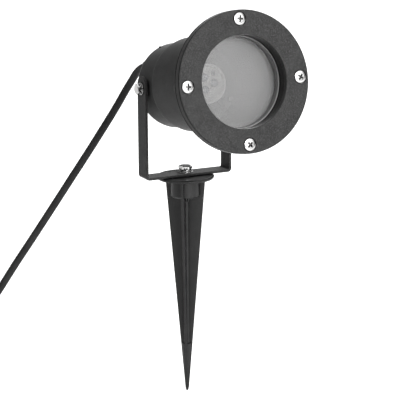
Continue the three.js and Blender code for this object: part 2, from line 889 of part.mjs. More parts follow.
add(head, "carrier_plate", carrierPlate(), powderCoat());
carrierPlaces.forEach(([x, up], i) => {
  const headBack = PLATE_S + PLATE_T + GAP;
  const geometry = crossHeadScrew(headBack, 21, 2.8, 1.8, CARRIER_SCREW_R, 0.4 + i);
  add(head, `carrier_screw_${i + 1}`, geometry, brightSteel()).position.set(x, 0, up);
});
add(head, "heat_sink", heatSink(), castAluminium());
add(
  head,
  "led_board",
  cut(
    rodForward(HOLDER_R - 0.2, BOARD_S, BOARD_S + BOARD_T, 0, 0, 36),
    rodForward(2.4, BOARD_S - 1, BOARD_S + BOARD_T + 1, 0, 0, 12),
  ),
  circuitBoard(),
);
lensPlaces.forEach(([x, up], i) => {
  const led = box(3.4, 1.4, 3.4, 0, -(BOARD_S + BOARD_T + GAP + 0.7), 0);
  add(head, `led_${i + 1}`, led, whitePlastic()).position.set(x, 0, up);
  add(head, `lens_${i + 1}`, lens(), clearGlass()).position.set(x, 0, up);
});
add(head, "lens_holder", lensHolder(), whitePlastic());
add(
  head,
  "dusk_sensor",
  turnedForward(
    [
      [0, HOLDER_FRONT_S - 3.4],
      [SENSOR_R, HOLDER_FRONT_S - 3.4],
      [SENSOR_R, HOLDER_FRONT_S - 0.2],
      [0.9, HOLDER_FRONT_S + 0.5],
      [0, HOLDER_FRONT_S + 0.7],
    ],
    12,
  ),
  blackNylon(),
).position.set(SENSOR_PLACE[0], 0, SENSOR_PLACE[1]);
add(head, "wheel_motor", rodForward(8.8, 14, PLATE_S - 2 * GAP, 0, 0, 24), castAluminium());
add(head, "motor_shaft", rodForward(SHAFT_R, PLATE_S - GAP, WHEEL_S + 2, 0, 0, 12), brightSteel());
add(head, "pattern_wheel", patternWheel(), blackNylon());

// ---- driver, in the rear of the housing -----------------------------------------------------
const TRAY_UP = -21;
const TRAY_LENGTH = 20;

function driverTray() {
  const floor = box(42, TRAY_LENGTH, 1.6, 0, 0, TRAY_UP);
  const lip = (side) => box(1.6, TRAY_LENGTH, 5, side * 20.2, 0, TRAY_UP + 1.7);
  return join(floor, lip(-1), lip(1));
}

const boardUp = TRAY_UP + 0.8 + GAP + 0.8;
const partsUp = boardUp + 0.8 + GAP;
add(head, "driver_tray", driverTray(), blackNylon());
add(head, "driver_board", box(38, TRAY_LENGTH - 1, 1.6, 0, 0, boardUp), circuitBoard());
add(head, "driver_transformer", box(13, 14, 10, -10.5, 0, partsUp + 5), blackNylon());
add(
  head,
  "driver_capacitor",
  rodForward(4, -6, 6, 3, partsUp + 4, 16),
  blackNylon(),
);
add(
  head,
  "driver_choke",
  rod(3.6, partsUp, partsUp + 7, 16).translate(13, 0, 0),
  blackNylon(),
);

export default part;
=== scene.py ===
"""The looks of the light projector stake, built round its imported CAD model.

Pieces are made in millimetres and become metres when they are finished. The lamp's own
coordinates are x, up and s, where s runs forwards along its axis from the pivot.
"""

import json
import math

import bmesh
import bpy
from mathutils import Matrix, Vector
from mathutils.geometry import delaunay_2d_cdt


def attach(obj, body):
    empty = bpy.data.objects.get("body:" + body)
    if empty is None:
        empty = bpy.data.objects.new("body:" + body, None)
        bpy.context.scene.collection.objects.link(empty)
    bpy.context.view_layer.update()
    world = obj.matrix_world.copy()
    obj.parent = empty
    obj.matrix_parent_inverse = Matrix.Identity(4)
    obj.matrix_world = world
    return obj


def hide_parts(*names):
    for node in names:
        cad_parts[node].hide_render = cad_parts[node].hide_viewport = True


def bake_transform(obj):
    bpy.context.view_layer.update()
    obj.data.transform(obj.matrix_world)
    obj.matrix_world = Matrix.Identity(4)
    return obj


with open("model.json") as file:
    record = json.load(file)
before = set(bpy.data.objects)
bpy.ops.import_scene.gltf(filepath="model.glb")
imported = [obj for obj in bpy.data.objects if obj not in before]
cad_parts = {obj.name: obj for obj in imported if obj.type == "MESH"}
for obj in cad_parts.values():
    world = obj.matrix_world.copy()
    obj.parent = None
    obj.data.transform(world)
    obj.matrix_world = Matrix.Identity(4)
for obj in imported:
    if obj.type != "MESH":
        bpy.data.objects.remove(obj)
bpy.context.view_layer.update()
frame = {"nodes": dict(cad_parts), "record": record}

# ---- dimensions of the CAD model, in millimetres ---------------------------------------------
MM = 0.001
GAP = 0.3
FLANGE_R, FLANGE_T = 23.7, 2.6
BOSS_R, BOSS_H = 12.3, 15.5
STAKE_LENGTH = 183.0
RIB_REACH, RIB_TIP, RIB_T, RIB_AZIMUTH = 16.6, 1.4, 2.0, -36.0
YOKE_OUT, STRAP_T, STRAP_W, BEND_R = 38.35, 2.0, 16.0, 3.0
YOKE_Z = FLANGE_T + GAP
PIVOT_Z = YOKE_Z + 74.5
ARM_END_Z = PIVOT_Z + 2
TILT = math.radians(10)
REAR_R, FRONT_R, REAR_S, STEP_S = 34.6, 38.0, -17.0, 20.0
REAR_WALL, REAR_BORE_R, FRONT_BORE_R, GLASS_BORE_R = 3.4, 31.6, 33.5, 36.6
BEZEL_R, OPENING_R, FRONT_S, BEZEL_T, SKIRT_R = 55.0, 36.0, 109.0, 5.0, 52.9
BEZEL_BACK_S = FRONT_S - BEZEL_T
SEAL_S, SEAL_T = BEZEL_BACK_S - GAP - 0.6, 0.6
LAMP_FLANGE_R = SKIRT_R - GAP
FLANGE_FRONT_S = SEAL_S - GAP
FLANGE_BACK_S = FLANGE_FRONT_S - 2.4
GLASS_S, GLASS_T, GLASS_R = 90.2, 4.0, 36.2
SEAT_S = GLASS_S - GLASS_T - 1.4
RETAINER_S, RETAINER_BORE_R = 96.6, 35.2
SCREW_CIRCLE_R, HEAD_R, HEAD_H, SCREW_R, COUNTERBORE = 48.0, 4.8, 2.6, 1.9, 2.2
SUNK_R = 5.4
PAD_OUT = YOKE_OUT - STRAP_T - 0.35
GLAND_UP = 17.0
CORD_D = 6.5
GLAND_FLATS, GLAND_HEX_T, DOME_LENGTH, BOOT_LENGTH = 17.0, 4.5, 13.0, 36.0
BOOT_R = 5.9
GLAND_HEX_S = REAR_S - GAP - GLAND_HEX_T
DOME_S = GLAND_HEX_S - GAP - DOME_LENGTH
BOOT_S = DOME_S - GAP - BOOT_LENGTH
PLATE_S, PLATE_T = 30.3, 1.5
BOARD_S, BOARD_T = 32.1, 1.4
HOLDER_R, HOLDER_S, LENS_CIRCLE_R, LENS_R = 15.8, 44.4, 5.5, 2.8
SENSOR_AT = (5.4, 7.9)
COIL_AT = Vector((-177.6, 180.1))
COIL_R, COIL_COLUMNS, COIL_LAYERS = 36.0, 3, 4
TIE_T, TIE_W, TIE_AZIMUTH = 1.0, 9.0, -40.0
COIL_Z = -STAKE_LENGTH + TIE_T + 2 * GAP
COIL_H = COIL_LAYERS * CORD_D
COIL_HALF_W = COIL_COLUMNS * CORD_D / 2
PLUG_Z = COIL_Z + COIL_H + GAP + 10.7
PLUG_TURN, PLUG_NECK, PIN_SPACING = -62.0, -29.0, 19.0
CORD_STEP = 4.0  # between the cord's sections, as far as the coil

# The cord's route from its boot to the coil, as in the CAD model.
CORD_ROUTE = [
    (0, 74, 81.6),
    (0, 76.5, 81.1),
    (-0.3, 82.4, 79.4),
    (-1, 88, 76.5),
    (-2, 92.9, 72.4),
    (-3.3, 96.8, 67.3),
    (-5.6, 100, 61.6),
    (-15.5, 107, 41),
    (-26, 114.5, 20.5),
    (-36.5, 122.5, 0),
    (-47, 130.5, -20),
    (-57.5, 139, -40.5),
    (-68, 147, -60.5),
    (-79, 155, -81),
    (-89.5, 163.5, -101),
    (-100, 171.5, -121.5),
    (-110.5, 179.5, -141.5),
    (-121, 188, -162),
    (-127.5, 193, -170.7),
    (-135.2, 199.3, -176.2),
    (-142.9, 205.9, -178.1),
    (-150, 211.6, -178.1),
]

# The lamp's x, up and s axes in the row frame.
LAMP = Matrix(
    (
        (1, 0, 0, 0),
        (0, math.sin(TILT), -math.cos(TILT), 0),
        (0, math.cos(TILT), math.sin(TILT), PIVOT_Z),
        (0, 0, 0, 1),
    )
)
ROW = Matrix.Identity(4)
ROUND = 96  # segments of a turned piece


# ---- camera ----------------------------------------------------------------------------------
CAMERA_ANGLES = (-25.79, 13.35, -0.44)  # azimuth, elevation and roll, in degrees
CAMERA_AIM = (0.01188, -0.01868)  # metres to the right of the stake's axis, and above the ground
CAMERA_DISTANCE = 1.6
CAMERA_LENS = 175.17


def add_camera():
    """The camera, 1.6 m from the lamp, to its right and a little above it."""
    azimuth, elevation, roll = (math.radians(a) for a in CAMERA_ANGLES)
    back = Vector(
        (
            math.sin(azimuth) * math.cos(elevation),
            -math.cos(azimuth) * math.cos(elevation),
            math.sin(elevation),
        )
    )
    right = Vector((math.cos(azimuth), math.sin(azimuth), 0))
    up = back.cross(right)
    target = right * CAMERA_AIM[0] + Vector((0, 0, CAMERA_AIM[1]))
    rolled_right = right * math.cos(roll) + up * math.sin(roll)
    rolled_up = up * math.cos(roll) - right * math.sin(roll)
    data = bpy.data.cameras.new("camera")
    data.sensor_width = 36
    data.lens = CAMERA_LENS
    data.clip_start, data.clip_end = 0.05, 50
    camera = bpy.data.objects.new("camera", data)
    bpy.context.scene.collection.objects.link(camera)
    axes = Matrix((rolled_right, rolled_up, back)).transposed().to_4x4()
    camera.matrix_world = Matrix.Translation(target + back * CAMERA_DISTANCE) @ axes
    bpy.context.scene.camera = camera


add_camera()


# ---- materials -------------------------------------------------------------------------------
def link(tree, output, socket):
    tree.links.new(output, socket)


def noise(tree, place, size, detail=3.0):
    """A noise whose features are about size millimetres across."""
    node = tree.nodes.new("ShaderNodeTexNoise")
    node.inputs["Scale"].default_value = 1 / (size * MM)
    node.inputs["Detail"].default_value = detail
    link(tree, place, node.inputs["Vector"])
    return node.outputs["Fac"]


def spread(tree, value, low, high, from_low=0.35, from_high=0.65):
    """Maps the usual range of a noise to low and high."""
    node = tree.nodes.new("ShaderNodeMapRange")
    node.inputs["From Min"].default_value = from_low
    node.inputs["From Max"].default_value = from_high
    node.inputs["To Min"].default_value = low
    node.inputs["To Max"].default_value = high
    link(tree, value, node.inputs["Value"])
    return node.outputs["Result"]


def mix(tree, factor, a, b):
    """A colour between a and b, each a colour or another node's output."""
    node = tree.nodes.new("ShaderNodeMix")
    node.data_type = "RGBA"
    link(tree, factor, node.inputs["Factor"])
    for socket, value in ((node.inputs[6], a), (node.inputs[7], b)):
        if isinstance(value, bpy.types.NodeSocket):
            link(tree, value, socket)
        else:
            socket.default_value = (*value, 1)
    return node.outputs[2]


def surface(
    name,
    dark,
    light,
    gloss,
    mottle=9.0,
    grain=1.0,
    relief=0.02,
    speck=None,
    painted_shade_reach=2.5,
    **settings,
):
    """A material whose colour wanders between two shades.

    gloss is the lowest and highest roughness, mottle and grain are sizes in millimetres, and
    relief is the grain's height. speck is a third shade on the grain's peaks. Painted shade
    darkens corners and recesses closer than crevice millimetres. The other settings are the
    shader's own.
    """
    material = bpy.data.materials.new(name)
    material.use_nodes = True
    tree = material.node_tree
    shader = tree.nodes["Principled BSDF"]
    place = tree.nodes.new("ShaderNodeTexCoord").outputs["Object"]
    wander = spread(tree, noise(tree, place, mottle, 4.0), 0, 1)
    fine = noise(tree, place, grain)
    colour = mix(tree, wander, dark, light)
    if speck:
        colour = mix(tree, spread(tree, fine, 0, 1, 0.48, 0.62), colour, speck)
    # Painted shade: an ambient occlusion node darkens the colour towards a near-black copy of dark in
    # corners, creases and recesses, where shade falls.
    if painted_shade_reach:
        painted_shade_node = tree.nodes.new("ShaderNodeAmbientOcclusion")
        painted_shade_node.inputs["Distance"].default_value = painted_shade_reach * MM
        painted_shade_node.samples = 8
        painted_shade_mask = spread(tree, painted_shade_node.outputs["AO"], 0, 1, 0.5, 0.92)
        colour = mix(tree, painted_shade_mask, tuple(0.12 * c for c in dark), colour)
    link(tree, colour, shader.inputs["Base Color"])
    link(tree, spread(tree, fine, *gloss), shader.inputs["Roughness"])
    bump = tree.nodes.new("ShaderNodeBump")
    bump.inputs["Strength"].default_value = 1.0
    bump.inputs["Distance"].default_value = relief * MM
    link(tree, fine, bump.inputs["Height"])
    link(tree, bump.outputs["Normal"], shader.inputs["Normal"])
    for socket, value in settings.items():
        shader.inputs[socket.replace("_", " ")].default_value = value
    return material


def grey(value, warm=0.0):
    return (value * (1 + warm), value, value * (1 - warm))


MATERIALS = {
    "powder_coat": surface(
        "powder coat",
        grey(0.013),
        grey(0.018),
        (0.45, 0.62),
        grain=0.75,
        relief=0.1,
        speck=grey(0.03),
        Specular_IOR_Level=0.04,
        Sheen_Weight=0.25,
        Sheen_Roughness=0.25,
    ),
    "stake_plastic": surface(
        "moulded plastic",
        grey(0.006),
        grey(0.009),
        (0.28, 0.4),
        grain=0.7,
        relief=0.012,
        Specular_IOR_Level=0.2,
    ),
    "bright_steel": surface(
        "bright steel",
        grey(0.36),
        grey(0.45, 0.01),
        (0.16, 0.3),
        mottle=3.0,
        grain=0.25,
        relief=0.002,
        Metallic=1.0,
    ),
    "black_rubber": surface(
        "black rubber",
        grey(0.01),
        grey(0.015),
        (0.42, 0.6),
        mottle=14.0,
        grain=0.5,
        relief=0.01,
        Specular_IOR_Level=0.1,
    ),
    "black_nylon": surface(
        "black nylon", grey(0.02), grey(0.028), (0.35, 0.5), grain=0.5, relief=0.01
    ),
    "grey_silicone": surface(
        "grey silicone", grey(0.1), grey(0.13), (0.5, 0.65), grain=0.8, relief=0.01
    ),
    "cast_aluminium": surface(
        "cast aluminium",
        grey(0.34),
        grey(0.44),
        (0.32, 0.5),
        mottle=5.0,
        grain=0.6,
        relief=0.01,
        Metallic=1.0,
    ),
    "white_plastic": surface(
        "white plastic", grey(0.26, 0.04), grey(0.3, 0.04), (0.35, 0.5), grain=1.0, relief=0.006
    ),
    "circuit_board": surface(
        "circuit board",
        (0.02, 0.09, 0.04),
        (0.03, 0.13, 0.06),
        (0.3, 0.45),
        mottle=4.0,
        grain=0.6,
        relief=0.02,
        speck=(0.4, 0.34, 0.12),
    ),
    "clear_glass": surface(
        "clear glass",
        grey(0.128),
        grey(0.138),
        (0.34, 0.36),
        mottle=60.0,
        grain=30.0,
        relief=0.0,
        Alpha=0.45,
        painted_shade_reach=0,
        IOR=1.5,
    ),
}
LENS_LOOK = surface(
    "lens plastic",
    (0.16, 0.17, 0.2),
    (0.19, 0.2, 0.23),
    (0.1, 0.14),
    mottle=20.0,
    grain=10.0,
    relief=0.0,
    painted_shade_reach=0,
    Alpha=0.8,
    IOR=1.49,
)


# ---- mesh code -------------------------------------------------------------------------------
def rounded(corners, steps=4, closed=False):
    """A polyline through (x, y) or (x, y, radius) corners, with an arc at each radius.

    Each arc has a point a little way outside its ends, which keeps the flats beside it flat.
    """
    points = []
    count = len(corners)
    for i, corner in enumerate(corners):
        here = Vector(corner[:2])
        if len(corner) == 2 or (not closed and i in (0, count - 1)):
            points.append(here)
            continue
        radius = corner[2]
        before = (Vector(corners[i - 1][:2]) - here).normalized()
        after = (Vector(corners[(i + 1) % count][:2]) - here).normalized()
        half = before.angle(after) / 2
        reach = radius / math.tan(half)
        middle = here + (before + after).normalized() * (radius / math.sin(half))
        first, last = here + before * reach, here + after * reach
        start = math.atan2(*(first - middle).yx)
        turn = math.atan2(*(last - middle).yx) - start
        turn = (turn + math.pi) % (2 * math.pi) - math.pi
        points.append(first + before * radius * 0.15)
        for k in range(steps + 1):
            angle = start + turn * k / steps
            points.append(middle + Vector((math.cos(angle), math.sin(angle))) * radius)
        points.append(last + after * radius * 0.15)
    return points


def ring(build, radius, z, segments=ROUND, at=(0, 0)):
    step = 2 * math.pi / segments
    return [
        build.verts.new(
            (at[0] + radius * math.cos(i * step), at[1] + radius * math.sin(i * step), z)
        )
        for i in range(segments)
    ]


def bridge(build, a, b):
    """Faces between two closed rows of points, either of which may be one point."""
    count = max(len(a), len(b))
    for i in range(count):
        j = (i + 1) % count
        corners = [a[i % len(a)], a[j % len(a)], b[j % len(b)], b[i % len(b)]]
        build.faces.new(list(dict.fromkeys(corners)))


def skin(build, rows, closed=False):
    """Faces over rows of points, one row after the other."""
    for a, b in zip(rows, rows[1:] + rows[:1] if closed else rows[1:]):
        bridge(build, a, b)
    return rows[0], rows[-1]


def turned(profile, segments=ROUND, closed=False, at=(0, 0), build=None):
    """A piece turned about z from (radius, z) points, from the axis to the axis or closed."""
    build = build or bmesh.new()
    rows = []
    for radius, z in profile:
        if radius < 1e-6:
            rows.append([build.verts.new((*at, z))])
        else:
            rows.append(ring(build, radius, z, segments, at))
    skin(build, rows, closed)
    return build


def web(build, outer, holes=(), seams=()):
    """Fills the flat outline of outer, which bulges everywhere, apart from its round holes."""
    loops = [outer, *holes]
    verts = [v for loop in loops for v in loop]
    number = {v: i for i, v in enumerate(verts)}
    owner = [n for n, loop in enumerate(loops) for _ in loop]
    edges = [
        (number[v], number[loop[(i + 1) % len(loop)]]) for loop in loops for i, v in enumerate(loop)
    ]
    edges += [(number[a], number[b]) for a, b in seams]
    found = delaunay_2d_cdt([v.co.xy for v in verts], edges, [], 0, 1e-6)
    faces, origins = found[2], found[3]
    for face in faces:
        ids = [origins[i][0] for i in face]
        if owner[ids[0]] and all(owner[i] == owner[ids[0]] for i in ids):
            continue
        build.faces.new([verts[i] for i in ids])


def drilled(outer, holes, segments=128, hole_segments=40):
    """A piece between two flat faces, with round holes.

    outer is its edge's profile from the front face to the back one, and each hole is
    (x, y, profile) or (x, y, profile, segments).
    """
    build = bmesh.new()
    rim = skin(build, [ring(build, r, z, segments) for r, z in outer])
    walls = []
    for x, y, profile, *count in holes:
        number = count[0] if count else hole_segments
        walls.append(skin(build, [ring(build, r, z, number, (x, y)) for r, z in profile]))
    for end in (0, 1):
        web(build, rim[end], [wall[end] for wall in walls])
    return build


def section_skin(sections, build=None):
    """A closed piece over sections, each a loop of points, with flat ends."""
    build = build or bmesh.new()
    rows = [[build.verts.new(p) for p in section] for section in sections]
    first, last = skin(build, rows)
    build.faces.new(first)
    build.faces.new(last)
    return build


def hex_row(build, across, crown, z, segments=ROUND):
    """A hexagon's outline, cut back to a circle of radius crown."""
    row = []
    for i in range(segments):
        angle = 2 * math.pi * i / segments
        off = (angle + math.pi / 6) % (math.pi / 3) - math.pi / 6
        radius = min(across / 2 / math.cos(off), crown)
        row.append(build.verts.new((radius * math.cos(angle), radius * math.sin(angle), z)))
    return row


def joined(*builds):
    """One mesh that holds several closed bodies."""
    first = builds[0]
    for other in builds[1:]:
        mesh = bpy.data.meshes.new("part")
        other.to_mesh(mesh)
        other.free()
        first.from_mesh(mesh)
        bpy.data.meshes.remove(mesh)
    return first


def moved(build, matrix):
    build.transform(matrix)
    return build


def temporary(build, name):
    bmesh.ops.remove_doubles(build, verts=build.verts, dist=1e-5)
    bmesh.ops.recalc_face_normals(build, faces=build.faces)
    mesh = bpy.data.meshes.new(name)
    build.to_mesh(mesh)
    build.free()
    made = bpy.data.objects.new(name, mesh)
    bpy.context.scene.collection.objects.link(made)
    return made


def combined(base, *steps):
    """base after steps of ("UNION" or "DIFFERENCE", tool)."""
    target = temporary(base, "base")
    tools = []
    for operation, tool in steps:
        cutter = temporary(tool, "tool")
        modifier = target.modifiers.new("step", "BOOLEAN")
        modifier.operation = operation
        modifier.solver = "EXACT"
        modifier.object = cutter
        tools.append(cutter)
    graph = bpy.context.evaluated_depsgraph_get()
    mesh = bpy.data.meshes.new_from_object(target.evaluated_get(graph))
    build = bmesh.new()
    build.from_mesh(mesh)
    bpy.data.meshes.remove(mesh)
    for made in (target, *tools):
        bpy.data.objects.remove(made)
    return build


def piece(name, build, slot, body, replaces=(), matrix=ROW, sharp=32.0, look=None):
    """Finishes a mesh as a piece of the object that rides on a CAD body."""
    bmesh.ops.remove_doubles(build, verts=build.verts, dist=1e-5)
    bmesh.ops.recalc_face_normals(build, faces=build.faces)
    build.transform(Matrix.Scale(MM, 4) @ matrix)
    mesh = bpy.data.meshes.new(name)
    build.to_mesh(mesh)
    build.free()
    mesh.shade_smooth()
    mesh.set_sharp_from_angle(angle=math.radians(sharp))
    mesh.materials.append(look or MATERIALS[slot])
    made = bpy.data.objects.new(name, mesh)
    bpy.context.scene.collection.objects.link(made)
    if body:
        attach(made, body)
    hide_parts(*replaces)
    return made


def on_circle(radius, *degrees):
    return [
        (radius * math.cos(math.radians(a)), radius * math.sin(math.radians(a))) for a in degrees
    ]


def ease(t):
    t = min(1.0, max(0.0, t))
    return t * t * (3 - 2 * t)


# ---- cord, coil, tie and plug ----------------------------------------------------------------
def smooth_line(points, spacing):
    """Points about spacing apart on one smooth curve through the given ones."""
    points = [Vector(p) for p in points]
    lengths = [(b - a).length for a, b in zip(points, points[1:])]
    slopes = [(points[1] - points[0]) / lengths[0]]
    for i in range(1, len(points) - 1):
        before, after = lengths[i - 1], lengths[i]
        a = (points[i] - points[i - 1]) / before
        b = (points[i + 1] - points[i]) / after
        slopes.append((a * after + b * before) / (before + after))
    slopes.append((points[-1] - points[-2]) / lengths[-1])
    line = []
    for i, length in enumerate(lengths):
        count = max(1, round(length / spacing))
        for k in range(count):
            t = k / count
            line.append(
                points[i] * (2 * t**3 - 3 * t**2 + 1)
                + slopes[i] * length * (t**3 - 2 * t**2 + t)
                + points[i + 1] * (3 * t**2 - 2 * t**3)
                + slopes[i + 1] * length * (t**3 - t**2)
            )
    line.append(points[-1])
    return line


ENTRY = 48.8  # degrees round the coil where the cord joins it
SHIFT = 38.0  # degrees over which a turn moves to its next place
FIRST_SHIFT = -16.0
OUTER_R = COIL_R + CORD_D
BOTTOM_Z = COIL_Z + CORD_D / 2
LAST_BEND_R = 27.0


def coil_line():
    """The coil's turns: in, up, out, up, in, up and out, then up and round into the plug.

    Each layer moves over earlier in the turn than the one below it, so that no turn cuts
    through another.
    """

    def next_after(angle, place):
        return place + 360 * math.ceil((angle - place) / 360)

    moves = []
    angle, inwards = ENTRY, -1
    for layer in range(COIL_LAYERS):
        shift_at = FIRST_SHIFT - 2 * SHIFT * layer
        for _ in range(COIL_COLUMNS - 1):
            angle = next_after(angle, shift_at)
            moves.append((angle, inwards, 0))
            angle += SHIFT
        angle = next_after(angle, shift_at - SHIFT)
        moves.append((angle, 0, 1))
        angle += SHIFT
        inwards = -inwards
    line = []
    end = angle + 2
    count = math.ceil((end - ENTRY) / 6)
    for i in range(count + 1):
        a = ENTRY + (end - ENTRY) * i / count
        radius, z = OUTER_R, BOTTOM_Z
        for start, outwards, upwards in moves:
            share = ease((a - start) / SHIFT)
            radius += outwards * CORD_D * share
            z += upwards * CORD_D * share
        turn = math.radians(a)
        line.append(Vector((*(COIL_AT + Vector((math.cos(turn), math.sin(turn))) * radius), z)))
    turn = math.radians(end)
    middle = COIL_AT + Vector((math.cos(turn), math.sin(turn))) * (OUTER_R - LAST_BEND_R)
    low = line[-1].z
    for i in range(1, 16):
        bend = turn + math.radians(6 * i)
        z = low + (PLUG_Z - low) * ease((i - 3) / 11)
        line.append(Vector((*(middle + Vector((math.cos(bend), math.sin(bend))) * LAST_BEND_R), z)))
    return line


def tube(line, radius, sides=16):
    """A closed tube along a line."""
    sections = []
    along = (line[1] - line[0]).normalized()
    side = along.orthogonal().normalized()
    for i, point in enumerate(line):
        ahead = line[min(i + 1, len(line) - 1)] - line[max(i - 1, 0)]
        along = ahead.normalized()
        side = (side - along * side.dot(along)).normalized()
        across = along.cross(side)
        section = []
        for k in range(sides):
            turn = 2 * math.pi * k / sides
            section.append(point + (side * math.cos(turn) + across * math.sin(turn)) * radius)
        sections.append(section)
    return section_skin(sections)


coil = coil_line()
heading = Vector((math.cos(math.radians(PLUG_TURN)), math.sin(math.radians(PLUG_TURN)), 0))
neck_end = coil[-1]
inside_boot = [LAMP @ Vector((0, GLAND_UP, s)) for s in (BOOT_S + 9, BOOT_S + 4)]
cord_line = smooth_line([*inside_boot, *CORD_ROUTE], CORD_STEP)[:-1] + coil
cord_line += [neck_end + heading * d for d in (2, 5)]

cord = piece("cord", tube(cord_line, CORD_D / 2), "black_rubber", None, ["cord_tube", "cord_coil"])
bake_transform(cord)


def coil_tie():
    """A strap round the bundle of turns."""
    build = bmesh.new()
    rows = []
    for lift, side in rounded(
        [
            (GAP, -TIE_W / 2, 0.25),
            (GAP + TIE_T, -TIE_W / 2, 0.3),
            (GAP + TIE_T, TIE_W / 2, 0.3),
            (GAP, TIE_W / 2, 0.25),
        ],
        2,
        closed=True,
    ):
        half_w, half_h, bend = COIL_HALF_W + lift, COIL_H / 2 + lift, 2.6 + lift
        loop = rounded(
            [
                (-half_w, -half_h, bend),
                (half_w, -half_h, bend),
                (half_w, half_h, bend),
                (-half_w, half_h, bend),
            ],
            6,
            closed=True,
        )
        rows.append([build.verts.new((COIL_R + x, side, COIL_Z + COIL_H / 2 + y)) for x, y in loop])
    skin(build, rows, closed=True)
    place = Matrix.Translation((*COIL_AT, 0)) @ Matrix.Rotation(math.radians(TIE_AZIMUTH), 4, "Z")
    return moved(build, place)


tie = piece("cord_tie", coil_tie(), "black_nylon", "yoke", ["coil_tie"])


def plug_moulding():
    """The plug along x: a flat-faced body with finger grooves, then a ribbed neck."""
    places = [
        # x, half width, half height, squareness
        (19.0, 17.4, 8.4, 3.2),
        (18.6, 18.6, 9.6, 3.2),
        (17.6, 19.3, 10.3, 3.2),
        (15.0, 19.4, 10.4, 3.2),
        (6.0, 19.0, 10.2, 3.2),
        (2.0, 18.2, 9.8, 3.0),
    ]
    for i in range(4):
        x = -0.5 - 3.2 * i
        shrink = 1 - 0.05 * i
        places.append((x, 17.6 * shrink, 9.6 * shrink, 3.0))
        places.append((x - 0.6, 16.9 * shrink, 9.0 * shrink, 3.0))
        places.append((x - 1.6, 16.8 * shrink, 8.9 * shrink, 3.0))
        places.append((x - 2.2, 17.3 * shrink, 9.4 * shrink, 3.0))
    places += [(-14.0, 12.6, 8.0, 2.6), (-16.0, 9.4, 7.2, 2.3), (-17.6, 7.6, 6.6, 2.0)]
    for i in range(5):
        x = -18.4 - 2.2 * i
        radius = 6.2 - 0.3 * i
        places.append((x, radius, radius, 2.0))
        places.append((x - 0.4, radius - 0.7, radius - 0.7, 2.0))
        places.append((x - 1.0, radius - 0.7, radius - 0.7, 2.0))
        places.append((x - 1.4, radius - 0.1, radius - 0.1, 2.0))
    places.append((PLUG_NECK, 4.5, 4.5, 2.0))
    sections = []
    for x, wide, high, square in places:
        section = []
        for k in range(72):
            c, s = math.cos(math.radians(5 * k)), math.sin(math.radians(5 * k))
            y = math.copysign(abs(c) ** (2 / square), c) * wide
            z = math.copysign(abs(s) ** (2 / square), s) * high
            section.append((x, y, z))
        sections.append(section)
    return section_skin(sections)


def plug_pin():
    profile = [(0, 0), (2.4, 0), (2.4, 17.4), (2.3, 18.0), (1.9, 18.5), (1.2, 18.85), (0, 19)]
    return turned(profile, 48)


PLUG = (
    Matrix.Translation(neck_end - heading * PLUG_NECK)
    @ Matrix.Rotation(math.radians(PLUG_TURN), 4, "Z")
)
plug = piece("plug", plug_moulding(), "black_rubber", "yoke", ["plug_body"], PLUG)
for name, side in (("left", 1), ("right", -1)):
    place = PLUG @ Matrix.Translation((19 + GAP, side * PIN_SPACING / 2, 0))
    place = place @ Matrix.Rotation(math.pi / 2, 4, "Y")
    cad = f"plug_pin_{name}"
    piece(f"pin_{name}", plug_pin(), "bright_steel", "yoke", [cad], place)


# ---- ground stake ----------------------------------------------------------------------------
CORE_R, FULL_FROM = 3.0, -141.0  # the core between the ribs, and where it fills out


def ribbed_section(z):
    """The cross-shaped section of the stake: four ribs with round edges, and a round core."""
    reach = RIB_REACH + (RIB_TIP - RIB_REACH) * min(1.0, -z / (STAKE_LENGTH - 2))
    if z < -STAKE_LENGTH + 2:
        reach = RIB_TIP * math.sqrt(max(0.02, (z + STAKE_LENGTH) / 2))
    half = min(RIB_T / 2, 0.5 * reach)
    edge = 0.38 * half
    core = CORE_R if z > FULL_FROM else 0.88 * reach
    core = max(min(core, 0.9 * reach), half * 1.02)
    off = math.asin(min(1.0, half / core))
    quarter = [(reach, 0.0)]
    for degrees in (0, 30, 60, 90):
        turn = math.radians(degrees)
        quarter.append(
            (reach - edge + edge * math.cos(turn), half - edge + edge * math.sin(turn))
        )
    quarter.append(((reach + core) / 2, half))
    for k in range(7):
        turn = off + (math.pi / 2 - 2 * off) * k / 6
        quarter.append((core * math.cos(turn), core * math.sin(turn)))
    quarter += [(y, x) for x, y in reversed(quarter[1:6])]
    section = []
    for rib in range(4):
        turn = math.radians(RIB_AZIMUTH + 90 * rib)
        c, s = math.cos(turn), math.sin(turn)
        section += [(x * c - y * s, x * s + y * c, z) for x, y in quarter]
    return section


